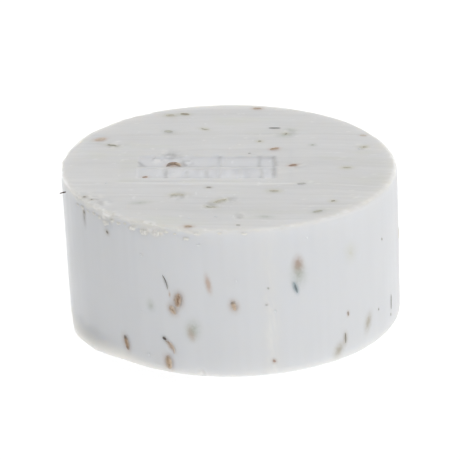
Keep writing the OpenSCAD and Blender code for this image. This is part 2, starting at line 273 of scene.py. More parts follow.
def block_row(x, y, shares, front, length):
    """1 on the floor of each block of a row and 0 outside, and the painted shade along the feet of its sides.
    """
    unit_w = (STAMP_W - BLOCK_RIB * (len(shares) - 1)) / sum(shares)
    depth, shade = np.zeros_like(x), np.zeros_like(x)
    left = STAMP_LEFT
    rows = window(y, front, front + length, WORN / 2)
    across = window(x, STAMP_LEFT, STAMP_RIGHT, 0.3)
    for share in shares:
        right = left + share * unit_w
        depth = np.maximum(depth, rows * window(x, left, right, WORN / 2))
        last = step(right, STAMP_RIGHT - 0.3, STAMP_RIGHT)
        uneven = np.maximum(0.5 + 1.5 * noise(right * 1.7, y / 2.1, 32) + 1.4 * last, 0.1)
        # Painted shade along the foot of each block's right side, uneven and darkest at the stamp's right end,
        # and its left side
        for place, side, (dark, off, half) in ((right, uneven, RIGHT_FOOT), (left, 1, LEFT_FOOT)):
            shade = shade + dark * side * rows * bell(x - place - off, half)
        left = right + BLOCK_RIB
    # Painted shade along the foot of the row's front and back sides
    for place, (dark, off, half) in ((front, FRONT_FOOT), (front + length, BACK_FOOT)):
        shade = shade + dark * across * bell(y - place - off, half)
    worn_rib = RIB_WORN * rows * window(x, STAMP_LEFT, STAMP_RIGHT, WORN / 2)
    return np.maximum(depth, worn_rib), shade


# The front end of the back row, and the left end of its last block
STAMP_FOOT = ROWS_BACK - BACK_ROW
LAST_LEFT = STAMP_RIGHT - BACK_BLOCKS[-1] * (STAMP_W - 3 * BLOCK_RIB) / sum(BACK_BLOCKS)
# Painted shade lines of the stamp: how dark, place, half width, from, to, softness. Some are broken up by
# noise: its mean, its share, its cell and its seed
LINES_ALONG_X = [
    (0.8, ROWS_BACK - 0.6, 0.7, LAST_LEFT, STAMP_RIGHT, 0.3),
    (1.0, STAMP_FOOT + 0.3, 0.5, STAMP_LEFT, STAMP_RIGHT, 0.4, 0.8, 0.6, 1.8, 29),
    (0.8, ROWS_FRONT + 0.5, 0.6, STAMP_LEFT + 3, STAMP_RIGHT, 1.5, 0.8, 0.7, 2, 37),
    (0.4, ROWS_BACK - 0.3, 0.5, STAMP_X - 3, STAMP_RIGHT, 1.5, 0.8, 0.7, 2.4, 30),
]
LINES_ALONG_Y = [
    (1.0, LAST_LEFT - 0.2, 0.4, STAMP_FOOT, ROWS_BACK, 0.4),
    (1.1, STAMP_RIGHT - 0.15, 0.45, ROWS_FRONT, ROWS_BACK, 0.4, 0.9, 0.3, 1.5, 33),
    (0.15, STAMP_LEFT + 0.1, 0.35, ROWS_FRONT + 1, STAMP_Y + 3, 0.6),
]
# A painted shadow shaped as a notch that leans off the row's left end, and a painted shadow in the corner
# beside it
NOTCH_DARK, NOTCH_OFF, NOTCH_LEAN, NOTCH_HALF, NOTCH_LENGTH = 2.2, 1.3, 0.45, 0.45, 2.7
CORNER_DARK, CORNER_OFF, CORNER_UP, CORNER_HALF = 2.0, 9.4, 1.9, (0.55, 1.3)


def stamp_outline(x, y, u, v):
    """The painted shade along the stamp's worn outline."""
    notch = bell(u - STAMP_LEFT - NOTCH_OFF + NOTCH_LEAN * (v - STAMP_FOOT), NOTCH_HALF)
    outline = NOTCH_DARK * notch * window(v, STAMP_FOOT, STAMP_FOOT + NOTCH_LENGTH, 0.4)
    corner = bell(u - STAMP_LEFT - CORNER_OFF, CORNER_HALF[0])
    outline = outline + CORNER_DARK * corner * bell(v - STAMP_FOOT - CORNER_UP, CORNER_HALF[1])
    for lines, across, along in ((LINES_ALONG_X, v, u), (LINES_ALONG_Y, u, v)):
        for dark, place, half, start, end, soft, *broken in lines:
            line = dark * bell(across - place, half) * window(along, start, end, soft)
            if broken:
                mean, share, cell, seed = broken
                at = (x / cell, 0.5) if along is u else (0.5, y / cell)
                line = line * (mean + share * noise(*at, seed))
            outline = outline + line
    return outline


def stamp_floor(x, y):
    """Share of the stamp's depth here, and the painted shade and light on its floor and along its outline."""
    u = x + 0.22 * rough(x / 1.6, y / 1.6, 31)
    v = y + 0.18 * rough(x / 2.2, y / 1.2, 35)
    back, back_shade = block_row(u, v, BACK_BLOCKS, STAMP_FOOT, BACK_ROW)
    front, front_shade = block_row(u, v, FRONT_BLOCKS, ROWS_FRONT, FRONT_ROW)
    patchy = np.clip(0.55 + 0.9 * rough(x / 2.6, y / 2.6, 50), 0.1, 1.4)
    # Painted light and shade of small lumps over the front row, with no lumps in the relief
    lumps = window(u, STAMP_LEFT + 4, STAMP_RIGHT, 1) * (1.3 * noise(x / 1.3, y / 2.2, 36) - 0.2)
    lumps = lumps * window(v, ROWS_FRONT - 0.2, ROWS_FRONT + FRONT_ROW, 0.6)
    ridge = 0.5 * window(u, STAMP_LEFT, STAMP_RIGHT, WORN / 2) * window(v, ROWS_FRONT, ROWS_BACK, WORN / 2)
    shade = (back_shade + front_shade) * patchy + 1.2 * stamp_outline(x, y, u, v) + 0.5 * lumps
    return np.maximum(np.maximum(back, front), ridge), shade


DRAG_LINES = [
    # y, depth, half width, wave, lip: the deeper lines that the cutting wire dragged along X, with painted
    # shade in each groove and a painted highlight on its lip
    (27.6, 0.05, 0.5, 0.3, 0.5),
    (23.4, 0.06, 0.4, 0.3, 0.5),
    (16.5, 0.16, 0.45, 0.35, 0.3),
    (13.2, 0.05, 0.4, 0.3, 0.8),
    (9.4, 0.05, 0.5, 0.25, 0.5),
    (-10.65, 0.07, 0.35, 0.15, 4.0),
    (-13.7, 0.06, 0.5, 0.2, 0.6),
    (-16.4, 0.10, 0.35, 0.3, 0.9),
    (-18.7, 0.05, 0.5, 0.3, 0.4),
    (-21.1, 0.10, 0.4, 0.3, 0.5),
    (-24.4, 0.06, 0.5, 0.3, 0.5),
    (-28.4, 0.10, 0.4, 0.2, 0.6),
    (-31.6, 0.08, 0.35, 0.2, 0.6),
    (30.2, 0.05, 0.4, 0.2, 0.5),
]


def drag(x, y):
    """The wire's marks: deeper lines, and a fine streaky grain along X. Also how dark they look: streaky tone
    that is partly painted shade, with painted shade in the lines and painted highlight on their lips.
    """
    bend = 0.9 * noise(x / 18, y / 26, 41) + 0.3 * noise(x / 5, y / 5, 42) + 0.012 * x
    across = y + bend
    present = 0.75 + 0.45 * noise(x / 13, across / 3.7, 39)
    fine = noise(x / 15 + 7, across / 0.5, 43) * 0.5 + noise(x / 11 + 3, across / 1.0, 44) * 0.4
    fine = fine * present + 0.35 * noise(x / 4, across / 0.45, 38)
    broad = noise(x / 50, across / 3.1, 45)
    sink = 0.09 + 0.02 * fine + 0.03 * broad
    dark = 0.68 * fine + 0.5 * broad
    for seed, (at, depth, half, wave, lip) in enumerate(DRAG_LINES, 1):
        off = across - at - wave * noise(x / 16, seed * 3.7, 46)
        strength = np.clip(0.6 + 0.6 * noise(x / 9, seed * 5.3, 47), 0.1, 1.1)
        line = 0.75 * bell(off, half) * strength
        ridge = lip * bell(off + 1.9 * half, 0.8 * half) * strength
        sink = sink + 0.6 * depth * line - 0.3 * depth * ridge
        # Painted shade in the groove, painted highlight on the lip beside it
        dark = dark + 5 * depth * line - 4.5 * depth * ridge
    return sink, dark


TOP_TEARS = [
    # X, Y, half length, half width: spots where the wire plucked at a fleck and left the soap rough
    (-12.4, 5.4, 1.9, 2.2), (-14.8, 2.6, 1.3, 1.4), (-8.6, 1.2, 1.1, 2.0), (28.0, 9.2, 1.3, 1.8),
    (-27.0, -18.6, 1.8, 2.2), (-25.0, -21.0, 1.4, 1.8), (-3.4, -22.6, 1.5, 1.7), (0.2, -19.4, 1.8, 1.4),
    (-24.6, 10.4, 2.0, 1.5), (14.2, -0.8, 1.5, 1.8), (12.0, 17.5, 1.6, 1.7), (2.5, -27.6, 1.2, 1.4),
    (-10.0, -17.5, 2.0, 1.8),
]


def top_fall(x, y):
    """How far the top lies under the CAD plane, and what colours it: streaks and painted shade and light,
    stamp, tears, distance in.
    """
    sink, dark = drag(x, y)
    floor, shade = stamp_floor(x, y)
    plate_left, plate_right = STAMP_LEFT - PLATE_LEFT, STAMP_RIGHT + PLATE_RIGHT
    plate_front, plate_back = ROWS_FRONT - PLATE_FRONT, ROWS_BACK + PLATE_BACK
    plate = window(x, plate_left, plate_right, 0.35)
    plate = plate * window(y + 0.15 * noise(x / 9, 0.5, 48), plate_front, plate_back, 0.3)
    press = 0.9 + 0.12 * rough(x / 2.2, y / 2.2, 49)
    sink = sink * (1 - 0.75 * floor) + PLATE_DEPTH * plate + STAMP_DEPTH * floor * press
    # The stamp's painted shade darkens the top's colour
    dark = dark * (1 - 0.75 * floor) + 1.9 * shade

    # The plate's front edge: a painted highlight along it as a light lip, and a painted shadow at its foot
    # behind it
    lip_off = y - plate_front - 0.3 * noise(x / 7, 0.5, 40)
    painted_lip_shading = window(x, plate_left, plate_right, 1.2) * np.maximum(0.62 + 0.8 * noise(x / 5, 0.5, 34), 0.1)
    dark = dark + painted_lip_shading * (1.3 * bell(lip_off - 0.9, 0.5) - 1.35 * bell(lip_off, 0.5))

    # Painted light makes the back of the top lighter, and pale specks stand out of it all over
    dark = dark - 1.1 * step(y, 0.84 * RADIUS, 0.95 * RADIUS)
    specks = step(noise(x / 0.7, y / 1.2, 71), 0.8, 0.97)
    dark = dark - 2.2 * specks
    sink = sink - 0.05 * specks

    # Torn spots, and the torn rim with its rounded edge
    pluck = np.zeros_like(x)
    for at_x, at_y, half_x, half_y in TOP_TEARS:
        torn = bell(x - at_x, half_x) * bell(y - at_y, half_y)
        lump = rough(x / 0.9 + at_x, y / 1.3, 55)
        sink = sink - 0.22 * torn * lump
        dark = dark - torn * (7 * lump - 0.3)
        pluck = np.maximum(pluck, torn * step(lump, -0.1, 0.35))
    angle = np.degrees(np.arctan2(x, -y))
    edge = top_round(angle)
    inset = RADIUS - np.hypot(x, y)
    band = ragged(angle) * (1 - step(inset, 0.3 * edge, 0.3 + 1.35 * edge))
    lumps = band * (0.16 + 0.1 * rough(x / 0.8, y / 0.8, 51) - 0.16 * flakes(x, y))
    inner = step(inset, 0.0, 0.5 * edge)
    fall = (np.maximum(sink, 0) + lumps) * inner + arc_drop(inset, edge)
    return fall, dark, floor, np.maximum(band, 0.45 * pluck), inset


# -------- the soap mesh
WALL_WHITE = np.array([0.788, 0.800, 0.818])
CUT_WHITE = np.array([0.800, 0.800, 0.797])
STAMP_WHITE = np.array([0.828, 0.836, 0.858])
CREAM = np.array([0.835, 0.820, 0.765])
FLAKE_WHITE = np.array([0.93, 0.92, 0.89])
GRAIN_GREEN = np.array([0.770, 0.780, 0.715])
CLOUD_WHITE = np.array([0.80, 0.80, 0.775])

# How much darker one step of the top's streaks and painted shade and light is, and the range of its steps
DARK_STEP, DARK_RANGE = 0.062, (-2, 4.2)
# The pale seam down the wall, right of the front
SEAM_ANGLE, SEAM_HALF = 13.4, 2.6

# The mesh's rows across the top, and its steps in from each edge in millimetres, measured along the surface
ROWS = 360
EDGE_STEPS = [0, 0.15, 0.32, 0.52, 0.78, 1.1, 1.5, 2.0, 2.7, 3.6]
UPPER_STEPS = [0, 0.12, 0.26, 0.42, 0.6, 0.8, 1.05, 1.35, 1.7, 2.1, 2.6, 3.2, 3.9, 4.6, 5.2, 5.9]
LOWER_STEPS = [0, 0.15, 0.32, 0.52, 0.76, 1.05, 1.4, 1.8, 2.3, 2.9, 3.7]
MIDDLE_ROWS = 17
# Columns between the edge's steps, the plate, the stamp, the plate and the other edge's steps
COLUMNS = [10, 10, 92, 10, 20]
BASE_STEPS = [0.25, 0.6, 1.1, 2, 4, 8, 14, 20, 26, 31]


def column_places():
    """Columns of the top along X, -1 to 1: close together over the stamp and at both ends."""
    ends = np.array(EDGE_STEPS)
    stamp = [STAMP_LEFT - 0.6, STAMP_RIGHT + 0.6]
    plate_from, plate_to = STAMP_LEFT - PLATE_LEFT - 0.9, STAMP_RIGHT + PLATE_RIGHT + 0.9
    marks = [ends[-1] - RADIUS, plate_from, *stamp, plate_to, RADIUS - ends[-1]]
    middle = [np.linspace(a, b, n)[1:] for a, b, n in zip(marks, marks[1:], COLUMNS)]
    return np.concatenate([ends - RADIUS, *middle, RADIUS - ends[::-1][1:]]) / RADIUS


def strip(before, ring, turned=False):
    """Quads between two closed rings of points."""
    quads = []
    for k, corner in enumerate(ring):
        n = (k + 1) % len(ring)
        a, b = (before[n], corner) if turned else (corner, before[n])
        quads.append((before[k], a, ring[n], b))
    return quads


def cap(tip, ring, turned=False):
    """Triangles from a closed ring of points to one point."""
    ends = [(here, ring[(k + 1) % len(ring)]) for k, here in enumerate(ring)]
    return [(tip, here, there) if turned else (tip, there, here) for here, there in ends]


def top_tint(x, y, angle, dark, floor, band, inset):
    """The colour of the cut: green in patches, paler in the stamp, darkened and lightened by streaks and
    painted shade and light, cream where it is torn, and a cream band along the edge that is partly painted
    highlight.
    """
    patch = 0.4 * step(rough(x / 7, y / 3.2, 52), 0.05, 0.75)
    tint = blend(blend(CUT_WHITE, GRAIN_GREEN, patch), STAMP_WHITE, floor)
    tint = tint * (1 - DARK_STEP * np.clip(dark, *DARK_RANGE)[..., None])
    # A cream band along the edge, partly painted highlight of the rounded edge, broadest at the right
    broad_rim = 1.4 + 1.6 * window(angle, 35, 120, 18)
    thin = (0.26 + 0.1 * broad_rim) * (1 - step(inset, 0.2, broad_rim))
    thin = thin * (0.8 + 0.5 * round_noise(angle, 90, 0.2, 53))
    flake = flakes(x, y)
    cream = np.clip(band * (0.55 + 0.7 * flake) + thin, 0, 1)
    return blend(tint, blend(CREAM, FLAKE_WHITE, flake), cream)


def wall_tint(angle, height, down, up):
    """The colour of the wall: faint streaks, cream under the torn rim and along the seam, cream bands along
    the top edge and at the foot that are partly painted light, and painted light on the left edge.
    """
    torn = ragged(angle)
    hang = 0.5 + (2.0 + 1.3 * round_noise(angle, 120, 0.9, 66)) * torn
    band = np.minimum(1.5 * torn, 1) * (1 - step(down, 0.7 * hang, 1.2 * hang))
    flake = flakes(np.radians(angle) * RADIUS, height)
    # The cream-white band at the foot: partly the squashed foot's cream soap, partly painted light from the
    # floor, broadest at the front left
    foot_reach = 1.6 + 2.0 * window(angle, -100, -32, 15) + 0.4 * round_noise(angle, 60, 0.4, 68)
    foot = (0.25 + 0.75 * window(angle, -90, -28, 12)) * (1 - step(up, 0.3, foot_reach))
    seam_at = SEAM_ANGLE + 0.8 * noise(height / 4.5, 0.5, 64)
    seam = bell(angle - seam_at, SEAM_HALF) * (0.6 + 0.7 * rough(height / 1.1, angle * 1.3, 65))
    seam = seam * (1 - 0.5 * step(height, 10, 24))
    white = np.clip(np.maximum(np.maximum(flake * band, 0.9 * foot), 0.9 * seam), 0, 1)
    # Cream under the torn rim, and along the top edge a cream band that is partly painted highlight
    cream = np.clip(band * (0.55 + 0.7 * flake) + 0.4 * (1 - step(down, 0.2, 1.2)), 0, 1)
    cream = np.maximum(np.maximum(cream, foot), np.clip(0.6 * seam, 0, 1))
    streaks_and_painted_light = round_noise(angle, 200, height / 30, 61) * 0.6 + round_noise(angle, 60, height / 18, 62) * 0.4
    # Streaky tone, stronger at the left, and painted light that lightens the wall's left edge
    streaks_and_painted_light = streaks_and_painted_light * (0.016 + 0.026 * window(angle, -120, -58, 8)) - 0.06 * window(angle, -104, -75, 5)
    return blend(WALL_WHITE * (1 - streaks_and_painted_light[:, None]), blend(CREAM, FLAKE_WHITE, white), cream)


def soap_mesh():
    columns = column_places()
    count = len(columns)

    # The top: rows along X from the front (row 0, one point) to the back (the last row, one point).
    theta = np.radians(np.linspace(-90, 90, ROWS + 1))
    unit_y = np.repeat(np.sin(theta)[:, None], count, 1)
    unit_x = columns[None, :] * np.cos(theta)[:, None]
    reach = np.sqrt(unit_x**2 + unit_y**2)
    angle = np.degrees(np.arctan2(unit_x, -unit_y))
    radius = reach * RADIUS - top_round(angle) * ARC_MIDDLE * reach**24
    away = np.where(reach > 0, radius / np.maximum(reach, 1e-9), RADIUS)
    x, y = unit_x * away, unit_y * away
    fall, *colours = top_fall(x, y)
    place = TOP + x[..., None] * TOP_ALONG + y[..., None] * TOP_BACK - fall[..., None] * TOP_OUT
    tint = top_tint(x, y, angle, *colours)
    middle = count // 2
    verts = [place[0, middle], *place[1:-1].reshape(-1, 3), place[-1, middle]]
    tints = [tint[0, middle], *tint[1:-1].reshape(-1, 3), tint[-1, middle]]
    index = np.zeros((ROWS + 1, count), int)
    index[1:-1] = 1 + np.arange((ROWS - 1) * count).reshape(ROWS - 1, count)
    index[-1] = len(verts) - 1
    faces = []
    for j in range(ROWS):
        for i in range(count - 1):
            quad = (index[j, i], index[j, i + 1], index[j + 1, i + 1], index[j + 1, i])
            faces.append(tuple(dict.fromkeys(quad)))

    # The wall: rings from the edge of the top, which runs from the front towards +X and round, to the foot.
    loop = [*index[:-1, -1], *index[:0:-1, 0]]
    around = len(loop)
    angle = np.arange(around) * 360 / around
    angle = np.where(angle > 180, angle - 360, angle)
    start, low, high = wall_line(angle)
    bottom_edge = bottom_round(angle)
    from_bottom = np.array(LOWER_STEPS[::-1])
    first, last = top_round(angle) * ARC_MIDDLE, bottom_edge * ARC_MIDDLE
    length = high - low
    rows = [first + s for s in UPPER_STEPS[1:]]
    upper_end = first + UPPER_STEPS[-1]
    lower_start = length - last - from_bottom[0]
    rows += [upper_end + (lower_start - upper_end) * k / MIDDLE_ROWS for k in range(1, MIDDLE_ROWS)]
    rows += [length - last - s for s in from_bottom]
    rings = []
    for down in rows:
        height = high - down
        place = start + height[:, None] * AXIS - wall_inset(angle, height)[:, None] * outward(angle)
        rings.append((place, wall_tint(angle, height, down, height - low)))

    # The base, flat on what it stands on, with a few shallow scuffs.
    for s in BASE_STEPS:
        inset = last + s
        radius = RADIUS - inset + foot_flare(angle, 0) * (1 - step(s, 0, 7))
        bx, by = radius * np.sin(np.radians(angle)), -radius * np.cos(np.radians(angle))
        scuffs = 0.05 * step(s, 0.6, 2) * (0.6 + 0.4 * rough(bx / 6, by / 2.5, 63))
        lift = arc_drop(inset, bottom_edge) + scuffs
        rings.append((np.stack([FOOT_X + bx, by, lift], 1), np.repeat(CUT_WHITE[None], around, 0)))
    before = loop
    for place, tint in rings:
        ring = range(len(verts), len(verts) + around)
        verts.extend(place)
        tints.extend(tint)
        faces += strip(before, ring)
        before = ring
    faces += cap(len(verts), before)
    verts.append(np.array([FOOT_X, 0, 0.06]))
    tints.append(CUT_WHITE)
    return np.array(verts), faces, np.array(tints)


def make_object(name, verts, faces, tints):
    mesh = bpy.data.meshes.new(name)
    mesh.from_pydata((np.asarray(verts) * MM).tolist(), [], [tuple(int(i) for i in f) for f in faces])
    mesh.validate()
    mesh.update()
    colours = np.ones((len(mesh.vertices), 4))
    colours[:, :3] = np.clip(tints, 0, 1)
    attribute = mesh.attributes.new("tint", "FLOAT_COLOR", "POINT")
    attribute.data.foreach_set("color", colours.ravel())
    mesh.polygons.foreach_set("use_smooth", [True] * len(mesh.polygons))
    return add_object(name, mesh)


# -------- node materials
class Nodes:
    """A few short ways to build the node tree of a material or a world."""

    def __init__(self, owner):
        owner.use_nodes = True
        self.owner = owner
        self.tree = owner.node_tree
        self.shader = self.tree.nodes.get("Principled BSDF")

    def link(self, source, target):
        """Links an output to an input, or sets the input's value. A colour may be given without its alpha."""
        if isinstance(source, bpy.types.NodeSocket):
            self.tree.links.new(source, target)
        elif target.type == "RGBA":
            target.default_value = (*[float(c) for c in source][:3], 1)
        else:
            target.default_value = source

    def add(self, kind, inputs, **settings):
        made = self.tree.nodes.new(kind)
        for key, value in settings.items():
            setattr(made, key, value)
        for key, value in inputs.items():
            self.link(value, made.inputs[key])
        return made

    def math(self, operation, *values):
        return self.add("ShaderNodeMath", dict(enumerate(values)), operation=operation).outputs[0]

    def mix(self, factor, a, b):
        return self.add("ShaderNodeMix", {"Factor": factor, 6: a, 7: b}, data_type="RGBA").outputs[2]

    def coordinates(self, kind="Object"):
        return self.add("ShaderNodeTexCoord", {}).outputs[kind]

    def noise(self, vector, scale, detail=3, roughness=0.55):
        inputs = {"Vector": vector, "Scale": scale, "Detail": detail, "Roughness": roughness}
        return self.add("ShaderNodeTexNoise", inputs).outputs["Fac"]

    def ramp(self, value, low, high, to_low=0.0, to_high=1.0):
        inputs = dict(enumerate((value, low, high, to_low, to_high)))
        return self.add("ShaderNodeMapRange", inputs, interpolation_type="SMOOTHSTEP").outputs[0]

    def bump(self, height, strength, distance):
        made = self.add("ShaderNodeBump", {"Strength": strength, "Distance": distance, "Height": height})
        self.link(made.outputs[0], self.shader.inputs["Normal"])

    def tint(self):
        return self.add("ShaderNodeAttribute", {}, attribute_name="tint").outputs["Color"]

    def surface(self, **values):
        """Links or sets the shader's inputs, with _ for the spaces in their names."""
        for key, value in values.items():
            self.link(value, self.shader.inputs[key.replace("_", " ")])


def add_object(name, data):
    made = bpy.data.objects.new(name, data)
    bpy.context.scene.collection.objects.link(made)
    return made


# -------- flecks: frames from the CAD solids
# How far a fleck stands out of the CAD's soap
PROUD = 0.06
# How deep a fleck lies that counts as sunk under the skin, and one inside the puck
SUNK_FROM, DEEP = 0.2, 9.0
SOAP_FILM = srgb(226, 225, 223)


def solids_of(node):
    """The points of each loose solid of a CAD node."""
    co = points_of(node)
    _, ids = np.unique(np.round(co, 3), axis=0, return_inverse=True)
    ids = ids.ravel()
    first, second = ids[[tuple(edge.vertices) for edge in nodes[node].data.edges]].T
    label = np.arange(ids.max() + 1)
    settled = False
    while not settled:
        lowest = label.copy()
        np.minimum.at(lowest, first, label[second])
        np.minimum.at(lowest, second, label[first])
        settled = (lowest == label).all()
        label = lowest[lowest]
    clouds = [co[label[ids] == number] for number in np.unique(label)]
    return sorted(clouds, key=lambda c: tuple(np.round(c.mean(0), 2)))


class Fleck:
    """Where one CAD solid lies: its middle, its axes, its size, and its place on the puck."""

    def __init__(self, cloud, side, on_floor=False):
        mid = (cloud.max(0) + cloud.min(0)) / 2
        self.side = side
        self.height, self.angle, flat = off_axis(mid)
        self.top_x, self.top_y = (mid - TOP) @ TOP_ALONG, (mid - TOP) @ TOP_BACK
        if side == "wall":
            self.out, rising = unit(flat), AXIS
        elif side == "top":
            self.out, rising = TOP_OUT, TOP_ALONG
        elif side == "base":
            self.out, rising = np.array([0, 0, -1.0]), np.array([1.0, 0, 0])
        else:
            _, _, axes = np.linalg.svd(cloud - mid, full_matrices=False)
            self.out, rising = unit(axes[2]), AXIS
        rel = cloud - cloud.mean(0)
        rel = rel - np.outer(rel @ self.out, self.out)
        _, _, axes = np.linalg.svd(rel, full_matrices=False)
        self.along = unit(axes[0] - (axes[0] @ self.out) * self.out)
        if self.along @ rising < 0:
            self.along = -self.along
        self.across = np.cross(self.along, self.out)
        spans = [cloud @ axis for axis in (self.across, self.along, self.out)]
        self.width, self.length, self.thick = [s.max() - s.min() for s in spans]
        centres = [(s.max() + s.min()) / 2 for s in spans]
        self.mid = centres[0] * self.across + centres[1] * self.along + centres[2] * self.out
        along = spans[1] - centres[1]
        ends = abs(along) > 0.46 * self.length
        belly = abs(along) < 0.2 * self.length
        self.bend = spans[0][belly].mean() - spans[0][ends].mean() if belly.any() else 0.0
        if side == "wall":
            surface = RADIUS - np.linalg.norm(off_axis(self.mid)[2])
        elif side == "top":
            surface = (TOP - self.mid) @ TOP_OUT
        elif side == "base":
            surface = self.mid[2]
        else:
            surface = DEEP
        self.depth = surface - self.thick / 2
        self.floor_depth = STAMP_DEPTH if on_floor else 0.0
        self.sunk = self.depth - self.floor_depth > SUNK_FROM

    def settle(self, place):
        """Sets points that are placed on the CAD surface down onto the soap's finished surface."""
        if self.sunk or self.side in ("inside", "base"):
            return place
        if self.side == "wall":
            height, angle, _ = off_axis(place)
            return place - wall_inset(angle, height)[..., None] * outward(angle)
        rel = place - TOP
        fall = top_fall(rel @ TOP_ALONG, rel @ TOP_BACK)[0]
        return place - (fall - self.floor_depth)[..., None] * TOP_OUT


# Each fleck's rings along it, and its points round a ring
RINGS, SIDES = 22, 16


def tube_faces(rows, sides):
    """Faces of a tube of point rings. The points of its two tips come after those of its rings."""
    rings = [range(j * sides, (j + 1) * sides) for j in range(rows)]
    faces = [quad for before, ring in zip(rings, rings[1:]) for quad in strip(before, ring, turned=True)]
    return faces + cap(rows * sides, rings[0]) + cap(rows * sides + 1, rings[-1], turned=True)


def fleck_shape(fleck, look, seed):
    """A lens-shaped grain: ribbed and crowned on top, round below, with ragged edges and its own tint."""
    v = np.sin(np.linspace(-math.pi / 2, math.pi / 2, RINGS + 1))[1:-1, None]
    turn = np.arange(SIDES)[None, :] * 2 * math.pi / SIDES
    u = np.cos(turn) * np.ones_like(v)
    upper = np.sin(turn) * np.ones_like(v)
    outline = (1 - np.abs(v) ** 2.2) ** (0.5 * look["taper"])
    outline = outline * (1 + look["rag"] * rough(v * 3 + 5, np.sign(u) * 3 + seed, seed))
    curved = abs(fleck.bend) > 0.12 * fleck.width
    body = look.get("body", fleck.width - abs(fleck.bend)) if curved else fleck.width
    half = 0.5 * body * outline
    reach = fleck.length / 2
    if curved:
        arch = np.sqrt(1 - v**2) if abs(fleck.bend) > 0.4 * fleck.length else 1 - v**2
        rise_of_arch = fleck.width - 0.75 * body
        bow = np.sign(fleck.bend) * (rise_of_arch * arch - fleck.width / 2 + body / 4)
        reach = reach - 0.3 * body if abs(fleck.bend) > 0.4 * fleck.length else reach
    else:
        bow = np.zeros_like(v)
    run_across, run_along = np.gradient(bow[:, 0]), np.gradient(v[:, 0] * reach)
    pace = np.hypot(run_across, run_along)
    side_across, side_along = (run_along / pace)[:, None], (-run_across / pace)[:, None]
    crown = look["crown"] * (1 - np.abs(u) ** 3) * (1 - np.abs(v) ** 4)
    ribs = look["ribs"] * np.cos(look["rib_count"] * math.pi * u) * (1 - v**4)
    grain = look["lump"] * rough(u * 2 + seed, v * 5, seed + 7)
    brink = look["brink"]
    top = PROUD * 0.4 + crown + ribs + grain - 0.09 * np.abs(u) ** brink - 0.10 * np.abs(v) ** (brink + 2)
    bottom = -fleck.thick * np.sqrt(np.abs(upper)) * (1 - v**6)
    rise = np.where(upper >= -1e-6, top, bottom + top * (1 - np.sqrt(np.abs(upper))))
    above = 0.0 if fleck.sunk or fleck.floor_depth or fleck.side == "inside" else -fleck.depth
    base = fleck.mid + (fleck.thick / 2 - above) * fleck.out
    flat = (
        base
        + (u * half * side_across + bow)[..., None] * fleck.across
        + (u * half * side_along + v * reach)[..., None] * fleck.along
    )
    place = fleck.settle(flat) + rise[..., None] * fleck.out
    if fleck.side == "base":
        place[..., 2] = np.maximum(place[..., 2], 0.0)
    tips = [place[row].mean(0) + end * 0.02 * reach * fleck.along for end, row in ((-1, 0), (1, -1))]
    tint = fleck_tint(u, v * np.ones_like(u), look, seed, film_colour(fleck, look))
    verts = np.concatenate([place.reshape(-1, 3), tips])
    tints = np.concatenate([tint.reshape(-1, 3), tint[[0, -1], SIDES // 4]])
    return verts, tube_faces(RINGS - 1, SIDES), tints


# The soap's stains round the flecks
HALO_GAIN, HALO_MOST = 2.2, 0.85
HALO_COLOURS = {
    "tan": srgb(200, 178, 158),
    "pink": srgb(206, 188, 176),
    "teal": srgb(160, 180, 190),
    "rose": srgb(186, 160, 146),
    "green": srgb(188, 194, 184),
    "yellow": srgb(214, 213, 196),
    "dun": srgb(192, 186, 172),
    "grey": srgb(160, 158, 152),
    "orange": srgb(214, 182, 158),
}


def film_colour(fleck, look):
    """The colour of the soap's stained edge against a fleck."""
    if not look["halo"]:
        return SOAP_FILM
    kind, strength, reach = look["halo"]
    share = min(HALO_MOST, HALO_GAIN * strength * (reach / (fleck.width / 2 + reach)) ** 2)
    return SOAP_FILM * (1 - share) + HALO_COLOURS[kind] * share


def fleck_tint(u, v, look, seed, film_tint):
    """A fleck's colour: its head, its tail and a stripe over its core, under a film of soap at its edges."""
    tint = srgb(*look["core"]) * np.ones((*u.shape, 3))
    if "head" in look:
        tint = blend(tint, srgb(*look["head"]), step(v, 0.25, 0.75))
    if "tail" in look:
        tint = blend(tint, srgb(*look["tail"]), 1 - step(v, -0.75, -0.25))
    if "stripe" in look:
        path = 0.5 * noise(v * 2.5 + seed, 0.5, seed + 3)
        share = bell(u - path, look["stripe_w"]) * (1 - np.abs(v) ** 3)
        tint = blend(tint, srgb(*look["stripe"]), share)
    tint = tint * (1 + 0.26 * rough(u * 3 + seed, v * 6, seed + 5)[..., None])
    edge = np.clip(step(np.abs(u), 0.2, 0.95) + step(np.abs(v), 0.5, 1.0), 0, 1)
    return blend(tint, film_tint, edge * look["film"])


# How pointed and ragged a fleck is, its crown, ribs, lumps and how sharply its edges fall, then its colouring:
# the stripe's half width and how much of a film of soap covers its edges
USUAL_SHAPE = dict(taper=1, rag=0.22, crown=0.05, ribs=0.012, rib_count=3, lump=0.01, brink=8)
USUAL_COLOURING = dict(stripe_w=0.28, film=0.6)


def look(core, halo, **more):
    """A fleck's core colour in 8-bit sRGB, its stain in the soap (kind, strength and reach), and the rest."""
    return {"core": core, "halo": halo, **USUAL_SHAPE, **USUAL_COLOURING, **more}


